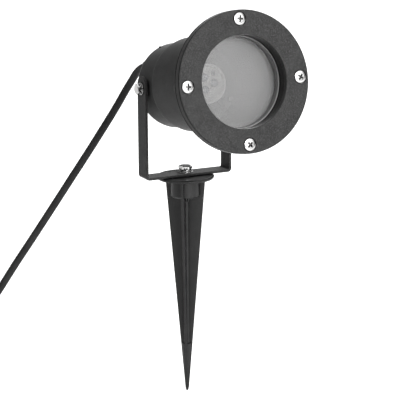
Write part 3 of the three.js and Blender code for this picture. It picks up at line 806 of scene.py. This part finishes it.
def ground_stake():
    top = turned(
        rounded(
            [
                (0, FLANGE_T),
                (FLANGE_R - 0.8, FLANGE_T, 0.3),
                (FLANGE_R, FLANGE_T - 0.8, 0.3),
                (FLANGE_R, 1.0, 0.15),
                (FLANGE_R - 0.7, 0.75, 0.15),
                (FLANGE_R - 0.7, 0, 0.4),
                (BOSS_R, 0, 0.8),
                (BOSS_R, -BOSS_H + 1.5, 0.4),
                (BOSS_R - 1.3, -BOSS_H, 0.4),
                (0, -BOSS_H),
            ]
        ),
        128,
    )
    heights = [-0.4 - 4 * i for i in range(35)]
    heights += [FULL_FROM + 0.25, FULL_FROM - 0.1]
    heights += [-144.0 - 3 * i for i in range(13)]
    heights += [-STAKE_LENGTH + h for h in (1.4, 0.8, 0.35, 0.1, 0.0)]
    ribs = section_skin([ribbed_section(z) for z in heights])
    nub_at = on_circle(3.0, RIB_AZIMUTH - 40)[0]
    nub = turned([(0, 1.5), (0.8, 1.3), (1.1, 0.8), (1.1, -0.9), (0, -1.2)], 20)
    moved(nub, Matrix.Translation((*nub_at, -18.2)))
    pocket = bmesh.new()
    across = 10 + 2 * GAP
    rows = [hex_row(pocket, across, across, z, 24) for z in (-2.8 - GAP, FLANGE_T + 1)]
    skin(pocket, rows)
    pocket.faces.new(rows[0])
    pocket.faces.new(rows[1])
    hole = turned([(0, -9), (3.25, -9), (3.25, 0), (0, 0)], 32)
    return combined(
        top, ("UNION", ribs), ("UNION", nub), ("DIFFERENCE", pocket), ("DIFFERENCE", hole)
    )


piece("stake", ground_stake(), "stake_plastic", "stake", ["ground_stake"])


# ---- bolts and washers -----------------------------------------------------------------------
def hex_bolt(flats, head_from, head_to, shank_r, shank_end):
    """A hexagon bolt along z, with a chamfered head and a threaded shank."""
    build = bmesh.new()
    corner = flats / math.sqrt(3) - 0.12
    rows = [[build.verts.new((0, 0, shank_end))]]
    rows.append(ring(build, shank_r - 0.6, shank_end))
    pitch = 0.8
    z = shank_end + 0.6
    while z < head_from - 1.6:
        rows.append(ring(build, shank_r, z))
        rows.append(ring(build, shank_r - 0.35, z + pitch / 2))
        z += pitch
    rows.append(ring(build, shank_r, head_from - 0.6))
    rows.append(ring(build, shank_r, head_from))
    rows.append(ring(build, flats / 2 - 0.4, head_from))
    rows.append(ring(build, flats / 2 - 0.25, head_from + 0.1))
    rows.append(hex_row(build, flats, flats / 2 - 0.05, head_from + 0.2))
    rows.append(hex_row(build, flats, corner, head_from + 0.55))
    chamfer = 0.55 * (corner - flats / 2) + 0.35
    steps = 8
    for k in range(steps + 1):
        share = k / steps
        crown = corner + 0.02 + (flats / 2 - 0.28 - corner) * share
        rows.append(hex_row(build, flats, crown, head_to - chamfer * (1 - share)))
    rows.append(ring(build, flats / 2 - 0.5, head_to))
    rows.append(ring(build, flats / 2 - 0.7, head_to))
    rows.append([build.verts.new((0, 0, head_to - 0.02))])
    skin(build, rows)
    return build


def flat_washer(inner, outer, low, high):
    edge = min(0.25, (high - low) / 3)
    corners = [(inner, low), (outer, low, edge), (outer, high, edge), (inner, high, edge)]
    return turned(rounded(corners, 3, closed=True), closed=True)


def spring_washer(inner, outer, low, high, turn):
    """A split washer whose ends stand a little apart."""
    sections = []
    count, lift = 72, 0.08
    for i in range(count + 1):
        angle = turn + math.radians(7 + 346 * i / count)
        c, s = math.cos(angle), math.sin(angle)
        rise = lift * (2 * i / count - 1)
        corners = rounded(
            [
                (inner, low + lift, 0.1),
                (outer, low + lift, 0.2),
                (outer, high - lift, 0.2),
                (inner, high - lift, 0.1),
            ],
            2,
            closed=True,
        )
        sections.append([(r * c, r * s, z + rise) for r, z in corners])
    return section_skin(sections)


WASHER_Z = YOKE_Z + STRAP_T + GAP
WASHER_T, LOCK_T, BOLT_HEAD_H = 0.8, 1.0, 3.0
LOCK_Z = WASHER_Z + WASHER_T + GAP
BOLT_HEAD_Z = LOCK_Z + LOCK_T + GAP
centre_turn = Matrix.Rotation(math.radians(6), 4, "Z")
piece(
    "bolt_centre",
    hex_bolt(10, BOLT_HEAD_Z, BOLT_HEAD_Z + BOLT_HEAD_H, 2.85, -8),
    "bright_steel",
    "stake",
    ["centre_bolt"],
    centre_turn,
)
piece(
    "washer_centre",
    flat_washer(3.15, 6.2, WASHER_Z, WASHER_Z + WASHER_T),
    "bright_steel",
    "stake",
    ["centre_washer"],
)
piece(
    "lock_washer_centre",
    spring_washer(3.15, 5.1, LOCK_Z, LOCK_Z + LOCK_T, 0.9),
    "bright_steel",
    "stake",
    ["centre_lock_washer"],
)

PIVOT_WASHER_T, PIVOT_HEAD_H = 0.7, 2.4
# Each pivot set is made along z, which then points outwards along x.
OUTWARDS = {
    "left": LAMP @ Matrix(((0, 0, -1, 0), (1, 0, 0, 0), (0, -1, 0, 0), (0, 0, 0, 1))),
    "right": LAMP @ Matrix(((0, 0, 1, 0), (1, 0, 0, 0), (0, 1, 0, 0), (0, 0, 0, 1))),
}
for name, outwards in OUTWARDS.items():
    washer = YOKE_OUT + GAP
    lock = washer + PIVOT_WASHER_T + GAP
    bolt_head = lock + PIVOT_WASHER_T + GAP
    piece(
        f"washer_{name}",
        flat_washer(2.7, 5, washer, washer + PIVOT_WASHER_T),
        "bright_steel",
        "head",
        [f"pivot_washer_{name}"],
        outwards,
    )
    piece(
        f"lock_washer_{name}",
        spring_washer(2.7, 4.2, lock, lock + PIVOT_WASHER_T, 2.0),
        "bright_steel",
        "head",
        [f"pivot_lock_washer_{name}"],
        outwards,
    )
    piece(
        f"bolt_{name}",
        hex_bolt(8, bolt_head, bolt_head + PIVOT_HEAD_H, 2.4, 29),
        "bright_steel",
        "head",
        [f"pivot_bolt_{name}"],
        outwards @ Matrix.Rotation(math.radians(17), 4, "Z"),
    )


# ---- yoke ------------------------------------------------------------------------------------
BASE_HALF = YOKE_OUT - BEND_R
BEND_LENGTH = (BEND_R - STRAP_T / 2) * math.pi / 2
ARM_LENGTH = ARM_END_Z - YOKE_Z - BEND_R
FLAT_HALF = BASE_HALF + BEND_LENGTH + ARM_LENGTH


def bent(u, v, h):
    """Where a point of the flat strap goes when it is bent: h is its height above the middle."""
    side = math.copysign(1, u)
    u = abs(u)
    neutral = BEND_R - STRAP_T / 2
    if u < BASE_HALF:
        return (side * u, v, YOKE_Z + STRAP_T / 2 + h)
    if u < BASE_HALF + BEND_LENGTH:
        turn = (u - BASE_HALF) / neutral
        reach = neutral - h
        return (
            side * (BASE_HALF + reach * math.sin(turn)),
            v,
            YOKE_Z + BEND_R - reach * math.cos(turn),
        )
    along = u - BASE_HALF - BEND_LENGTH
    return (side * (BASE_HALF + neutral - h), v, YOKE_Z + BEND_R + along)


def yoke_bracket():
    """A strap with round ends, one centre hole and two pivot holes, bent to a U."""
    stations = [0.0, 12.0, 24.0]
    stations += [BASE_HALF + BEND_LENGTH * k / 8 for k in range(9)]
    stations += [BASE_HALF + BEND_LENGTH + ARM_LENGTH * k / 6 for k in range(1, 7)]
    stations = [-u for u in reversed(stations[1:])] + stations
    build = bmesh.new()
    edge, half_t = 0.4, STRAP_T / 2
    around = rounded([(1.0, half_t), (0.0, half_t, edge), (0.0, -half_t, edge), (1.0, -half_t)])
    rows = []
    for inset, height in around:
        half_w = STRAP_W / 2 - inset
        flat = [(u, -half_w) for u in stations]
        flat += [
            (FLAT_HALF + half_w * math.sin(a), -half_w * math.cos(a))
            for a in (math.pi * k / 28 for k in range(1, 28))
        ]
        flat += [(u, half_w) for u in reversed(stations)]
        flat += [
            (-FLAT_HALF - half_w * math.sin(a), half_w * math.cos(a))
            for a in (math.pi * k / 28 for k in range(1, 28))
        ]
        rows.append([build.verts.new((u, v, height)) for u, v in flat])
    rim = skin(build, rows)
    pivot_u = FLAT_HALF - (ARM_END_Z - PIVOT_Z)
    walls = []
    for u, radius in ((0, 3.25), (-pivot_u, 2.8), (pivot_u, 2.8)):
        profile = rounded(
            [(radius + 0.6, half_t), (radius, half_t, 0.2), (radius, -half_t, 0.2), (radius + 0.6, -half_t)]
        )
        walls.append(skin(build, [ring(build, r, z, 40, (u, 0)) for r, z in profile]))
    count = len(stations)
    for end in (0, 1):
        row = rim[end]
        seams = [
            (row[i], row[2 * count + 26 - i])
            for i, u in enumerate(stations)
            if 4 < abs(u) < FLAT_HALF - 8
        ]
        web(build, row, [wall[end] for wall in walls], seams)
    for vert in build.verts:
        vert.co = bent(*vert.co)
    return build


piece("yoke_strap", yoke_bracket(), "powder_coat", "yoke", ["yoke_bracket"])


# ---- lamp housing ----------------------------------------------------------------------------
AROUND_FRONT = on_circle(SCREW_CIRCLE_R, 0, 90, 180, 270)


def housing():
    shell = turned(
        rounded(
            [
                (0, REAR_S),
                (REAR_R, REAR_S, 3.0),
                (REAR_R, STEP_S, 0.5),
                (FRONT_R, STEP_S, 0.9),
                (FRONT_R, FLANGE_BACK_S, 1.6),
                (LAMP_FLANGE_R, FLANGE_BACK_S, 0.5),
                (LAMP_FLANGE_R, FLANGE_FRONT_S, 0.3),
                (GLASS_BORE_R, FLANGE_FRONT_S, 0.3),
                (GLASS_BORE_R, SEAT_S, 0.3),
                (FRONT_BORE_R, SEAT_S, 0.3),
                (FRONT_BORE_R, STEP_S + 4, 0.5),
                (REAR_BORE_R, STEP_S + 2, 0.5),
                (REAR_BORE_R, REAR_S + REAR_WALL, 1.5),
                (0, REAR_S + REAR_WALL),
            ]
        ),
        128,
    )
    bosses = bmesh.new()
    for place in AROUND_FRONT:
        profile = rounded(
            [
                (0, FLANGE_BACK_S - 8),
                (4.4, FLANGE_BACK_S - 8, 0.8),
                (4.6, FLANGE_BACK_S - 0.01, 0.9),
                (6.2, FLANGE_BACK_S - 0.01),
                (6.2, FLANGE_BACK_S + 0.5),
                (0, FLANGE_BACK_S + 0.5),
            ]
        )
        straight = [(min(r, 4.6) if z > FLANGE_BACK_S - 1 else r, z) for r, z in profile]
        turned(straight, 40, at=place, build=bosses)
    pads = bmesh.new()
    for side in (-1, 1):
        pad = turned(
            rounded([(0, 31), (7.0, 31), (7.0, PAD_OUT, 0.4), (0, PAD_OUT)]), 48
        )
        moved(pad, Matrix.Rotation(side * math.pi / 2, 4, "Y"))
        pads = joined(pads, pad)
    pip_profile = rounded([(0, 6), (0.8, 6, 0.3), (0.8, 7.8, 0.3), (0, 7.8)])
    pip = turned([(r, REAR_S + z) for r, z in pip_profile], 24, at=(-14.3, REAR_R - 2.6))
    holes = bmesh.new()
    for x, up in AROUND_FRONT:
        radius, low, high = SCREW_R + GAP, FLANGE_BACK_S - 6, FLANGE_FRONT_S + 1
        turned([(0, low), (radius, low), (radius, high), (0, high)], 24, at=(x, up), build=holes)
    low, high = REAR_S - 1, REAR_S + REAR_WALL + 1
    turned([(0, low), (6.3, low), (6.3, high), (0, high)], 40, at=(0, GLAND_UP), build=holes)
    return combined(
        shell, ("UNION", bosses), ("UNION", pads), ("UNION", pip), ("DIFFERENCE", holes)
    )


piece("lamp_body", housing(), "powder_coat", "head", ["housing"], LAMP)


def bezel_ring():
    outer = rounded(
        [
            (BEZEL_R - 1.0, FRONT_S),
            (BEZEL_R, FRONT_S, 0.6),
            (BEZEL_R, FRONT_S - 0.8),
            (BEZEL_R - 0.9, FRONT_S - 0.9),
            (BEZEL_R - 0.9, FRONT_S - 1.7),
            (BEZEL_R, FRONT_S - 1.8, 0.15),
            (BEZEL_R, FLANGE_BACK_S + 1.5, 0.15),
            (BEZEL_R - 0.9, FLANGE_BACK_S + 1.4),
            (BEZEL_R - 0.9, FLANGE_BACK_S + 0.7),
            (BEZEL_R, FLANGE_BACK_S + 0.6, 0.1),
            (BEZEL_R, FLANGE_BACK_S, 0.2),
            (SKIRT_R, FLANGE_BACK_S, 0.2),
            (SKIRT_R, BEZEL_BACK_S),
            (SKIRT_R - 1, BEZEL_BACK_S),
        ]
    )
    opening = rounded(
        [
            (OPENING_R + 2, FRONT_S),
            (OPENING_R, FRONT_S, 0.6),
            (OPENING_R, BEZEL_BACK_S, 0.3),
            (OPENING_R + 2, BEZEL_BACK_S),
        ]
    )
    floor_s = FRONT_S - COUNTERBORE
    sunk = rounded(
        [
            (SUNK_R + 0.3, FRONT_S),
            (SUNK_R, FRONT_S, 0.15),
            (SUNK_R, floor_s),
            (SCREW_R + GAP, floor_s),
            (SCREW_R + GAP, BEZEL_BACK_S),
        ]
    )
    holes = [(0, 0, opening, 128)] + [(x, up, sunk) for x, up in AROUND_FRONT]
    return drilled(outer, holes)


piece("bezel", bezel_ring(), "powder_coat", "head", ["bezel_ring"], LAMP)
seal_outer = [(LAMP_FLANGE_R - 0.5, SEAL_S + SEAL_T), (LAMP_FLANGE_R - 0.5, SEAL_S)]
seal_bore = [(GLASS_BORE_R + 2, SEAL_S + SEAL_T), (GLASS_BORE_R + 2, SEAL_S)]
seal_hole = [(SCREW_R + GAP, SEAL_S + SEAL_T), (SCREW_R + GAP, SEAL_S)]
piece(
    "gasket",
    drilled(seal_outer, [(0, 0, seal_bore, 96)] + [(x, up, seal_hole) for x, up in AROUND_FRONT]),
    "black_rubber",
    "head",
    ["flange_seal"],
    LAMP,
)


def cross_screw(head_s, end_s, head_r, head_h, shank_r):
    """A cross-recessed screw along z, with a low round head."""
    top = head_s + head_h
    body = turned(
        rounded(
            [
                (0, end_s),
                (shank_r - 0.4, end_s),
                (shank_r, end_s + 0.5),
                (shank_r, head_s),
                (head_r, head_s, 0.15),
                (head_r, top - 0.6, 0.5),
                (0.7 * head_r, top - 0.12, 3),
                (0, top),
            ]
        ),
        72,
    )
    wings = []
    for k in range(2):
        long, wide, deep = 0.56 * head_r, 0.15 * head_r, 0.68 * head_h
        sections = []
        for z, share in ((top + 0.5, 1.15), (top - deep, 0.5)):
            x, y = long * share, wide * share
            sections.append([(-x, -y, z), (x, -y, z), (x, y, z), (-x, y, z)])
        turn = Matrix.Rotation(k * math.pi / 2, 4, "Z")
        wings.append(("DIFFERENCE", moved(section_skin(sections), turn)))
    return combined(body, *wings)


for (x, up), name, turn in zip(
    AROUND_FRONT, ("right", "top", "left", "bottom"), (-0.6, -0.15, -0.1, -0.85)
):
    place = LAMP @ Matrix.Translation((x, up, 0)) @ Matrix.Rotation(turn, 4, "Z")
    screw = cross_screw(
        FRONT_S - COUNTERBORE + GAP, FLANGE_BACK_S - 5, HEAD_R, HEAD_H, SCREW_R
    )
    piece(f"screw_{name}", screw, "bright_steel", "head", [f"bezel_screw_{name}"], place)


# ---- glass and its rings ---------------------------------------------------------------------
glass_edge = [
    (0, GLASS_S),
    (GLASS_R, GLASS_S, 0.4),
    (GLASS_R, GLASS_S - GLASS_T, 0.4),
    (0, GLASS_S - GLASS_T),
]
piece("glass", turned(rounded(glass_edge), 128), "clear_glass", "head", ["front_glass"], LAMP)
retainer = [
    (RETAINER_BORE_R, GLASS_S + GAP, 0.1),
    (GLASS_R, GLASS_S + GAP, 0.1),
    (GLASS_R, RETAINER_S, 0.15),
    (RETAINER_BORE_R, RETAINER_S, 0.35),
]
piece(
    "glass_ring",
    turned(rounded(retainer, closed=True), 128, closed=True),
    "grey_silicone",
    "head",
    ["glass_retainer"],
    LAMP,
)
under_glass = [
    (FRONT_BORE_R + 0.3, SEAT_S + GAP, 0.3),
    (GLASS_R, SEAT_S + GAP, 0.3),
    (GLASS_R, GLASS_S - GLASS_T - GAP, 0.3),
    (FRONT_BORE_R + 0.3, GLASS_S - GLASS_T - GAP, 0.3),
]
piece(
    "glass_gasket",
    turned(rounded(under_glass, closed=True), 128, closed=True),
    "grey_silicone",
    "head",
    ["glass_seal"],
    LAMP,
)

# ---- cable gland and boot --------------------------------------------------------------------
GLAND = LAMP @ Matrix.Translation((0, GLAND_UP, 0))


def gland_body():
    """A hexagon flange with a threaded neck through the housing's wall."""
    build = bmesh.new()
    corner = GLAND_FLATS / math.sqrt(3) - 0.2
    front, back = REAR_S - GAP, GLAND_HEX_S
    rows = [ring(build, 3.6, back), ring(build, GLAND_FLATS / 2 - 0.9, back)]
    rows.append(hex_row(build, GLAND_FLATS, GLAND_FLATS / 2 - 0.2, back))
    rows.append(hex_row(build, GLAND_FLATS, corner, back + 0.7))
    rows.append(hex_row(build, GLAND_FLATS, corner, front - 0.5))
    rows.append(hex_row(build, GLAND_FLATS, GLAND_FLATS / 2, front))
    rows.append(ring(build, 6.0, front))
    for i in range(7):
        s = front + 0.5 + i
        rows.append(ring(build, 6.0, s))
        rows.append(ring(build, 5.6, s + 0.5))
    rows.append(ring(build, 5.6, REAR_S + REAR_WALL + 5))
    rows.append(ring(build, 3.6, REAR_S + REAR_WALL + 5))
    skin(build, rows, closed=True)
    return build


def dome_nut():
    """The gland's cap, with twelve grip flats round its skirt."""
    build = bmesh.new()
    profile = rounded(
        [
            (3.6, DOME_S),
            (4.9, DOME_S, 0.5),
            (6.6, DOME_S + 2, 1.5),
            (7.5, DOME_S + 5, 1.0),
            (7.75, GLAND_HEX_S - GAP - 0.3, 0.3),
            (7.5, GLAND_HEX_S - GAP),
            (3.6, GLAND_HEX_S - GAP),
        ]
    )
    rows = []
    for radius, s in profile:
        depth = 0.55 * ease((s - DOME_S - 3.5) / 2) if radius > 5 else 0
        row = []
        for i in range(ROUND):
            angle = 2 * math.pi * i / ROUND
            flute = max(0.0, math.cos(12 * angle)) ** 2
            r = radius - depth * flute
            row.append(build.verts.new((r * math.cos(angle), r * math.sin(angle), s)))
        rows.append(row)
    skin(build, rows, closed=True)
    return build


def cord_boot():
    """The tapered strain relief, with grooves round it, that the cord comes out of."""
    front, back = DOME_S - GAP, BOOT_S
    outer = [(CORD_D / 2 + 0.05, front), (BOOT_R, front, 0.3), (BOOT_R, front - 3.5, 0.3)]
    count, pitch, width = 9, 3.2, 1.2
    for i in range(count):
        s = front - 4.5 - pitch * i
        radius = BOOT_R - 0.7 * i / count
        outer += [
            (radius, s, 0.25),
            (radius - 0.7, s - 0.3, 0.15),
            (radius - 0.7, s - 0.3 - width, 0.15),
            (radius - 0.03, s - 0.6 - width, 0.25),
        ]
    outer += [(BOOT_R - 0.8, back + 0.1, 0.6), (CORD_D / 2 + 0.05, back)]
    return turned(rounded(outer, 2), 48, closed=True)


piece("gland", gland_body(), "black_nylon", "head", ["gland_body"], GLAND)
piece("gland_cap", dome_nut(), "black_nylon", "head", ["gland_dome_nut"], GLAND)
piece("strain_relief", cord_boot(), "black_rubber", "head", ["cord_boot"], GLAND)


# ---- lamp module -----------------------------------------------------------------------------
LENS_PLACES = on_circle(LENS_CIRCLE_R, 0, 120, 240)


def lens_holder():
    """A white cup over the LED board, with a raised rim, three lens holes and a sensor's."""
    face_s, ceiling_s, open_s = HOLDER_S - 0.6, HOLDER_S - 2.6, BOARD_S + BOARD_T + GAP
    outer = rounded(
        [
            (HOLDER_R - 3.2, face_s),
            (HOLDER_R - 2.5, face_s, 0.3),
            (HOLDER_R - 2.0, HOLDER_S, 0.3),
            (HOLDER_R, HOLDER_S, 0.4),
            (HOLDER_R, open_s, 0.2),
            (HOLDER_R - 1.5, open_s, 0.2),
            (HOLDER_R - 1.5, ceiling_s, 0.3),
            (HOLDER_R - 2.5, ceiling_s),
        ]
    )
    holes = []
    for (x, up), radius in [(p, LENS_R + GAP) for p in LENS_PLACES] + [(SENSOR_AT, 1.8)]:
        profile = rounded(
            [(radius + 0.6, face_s), (radius, face_s, 0.3), (radius, ceiling_s)]
        )
        holes.append((x, up, profile))
    return drilled(outer, holes, 96)


def lens():
    """A lens: a short barrel with a domed front."""
    back, front = HOLDER_S - 3.4, HOLDER_S
    rise = 1.5
    turns = [math.pi * k / 20 for k in range(10)]
    dome = [(LENS_R * math.cos(a), front + rise * math.sin(a)) for a in turns]
    return turned([(0, back), (LENS_R, back), *dome, (0, front + rise)], 48)


piece("lens_cup", lens_holder(), "white_plastic", "head", ["lens_holder"], LAMP)
for i, (x, up) in enumerate(LENS_PLACES, 1):
    place = LAMP @ Matrix.Translation((x, up, 0))
    cad = f"lens_{i}"
    piece(f"front_{cad}", lens(), "clear_glass", "head", [cad], place, look=LENS_LOOK)

# ---- CAD nodes that keep their own shape -----------------------------------------------------
SLOTS = {m["node"]: m["material_slot"] for m in frame["record"]["subparts"]}
for name, node in frame["nodes"].items():
    if node.hide_render:
        continue
    node.data.materials.clear()
    node.data.materials.append(MATERIALS[SLOTS[name]])


# ---- floor and light -------------------------------------------------------------------------
def add_floor():
    mesh = bpy.data.meshes.new("floor")
    half = 9.0
    below_tip = 0.0002
    z = -STAKE_LENGTH * MM - below_tip
    mesh.from_pydata(
        [(-half, -half, z), (half, -half, z), (half, half, z), (-half, half, z)],
        [],
        [(0, 1, 2, 3)],
    )
    material = bpy.data.materials.new("pale floor")
    material.use_nodes = True
    shader = material.node_tree.nodes["Principled BSDF"]
    shader.inputs["Base Color"].default_value = (0.8, 0.8, 0.8, 1)
    shader.inputs["Roughness"].default_value = 0.9
    mesh.materials.append(material)
    floor = bpy.data.objects.new("floor", mesh)
    bpy.context.scene.collection.objects.link(floor)


def add_softbox(name, azimuth, elevation, distance, size, power):
    """A square light that looks at the origin. Its azimuth turns from +x towards +y."""
    turn, rise = math.radians(azimuth), math.radians(elevation)
    away = Vector(
        (math.cos(turn) * math.cos(rise), math.sin(turn) * math.cos(rise), math.sin(rise))
    )
    data = bpy.data.lights.new(name, "AREA")
    data.shape = "SQUARE"
    data.size = size
    data.energy = power
    light = bpy.data.objects.new(name, data)
    bpy.context.scene.collection.objects.link(light)
    facing = away.to_track_quat("Z", "Y").to_matrix().to_4x4()
    light.matrix_world = Matrix.Translation(away * distance) @ facing


def add_sky():
    """A soft room: bright overhead, darker towards the horizon."""
    world = bpy.data.worlds.new("room")
    bpy.context.scene.world = world
    world.use_nodes = True
    tree = world.node_tree
    background = tree.nodes["Background"]
    place = tree.nodes.new("ShaderNodeTexCoord").outputs["Generated"]
    split = tree.nodes.new("ShaderNodeSeparateXYZ")
    link(tree, place, split.inputs["Vector"])
    level = spread(tree, split.outputs["Z"], 0.1, 2.5, 0.3, 1.0)
    link(tree, level, background.inputs["Strength"])
    background.inputs["Color"].default_value = (1, 1, 1, 1)


add_floor()
add_sky()
add_softbox("wide card", 297, 26.5, 2.4, 1.6, 16)
add_softbox("key light", 274, 18, 2.4, 1.0, 105)
add_softbox("back light", 42, 18, 2.4, 1.2, 20)
bpy.context.scene.view_settings.view_transform = "Standard"
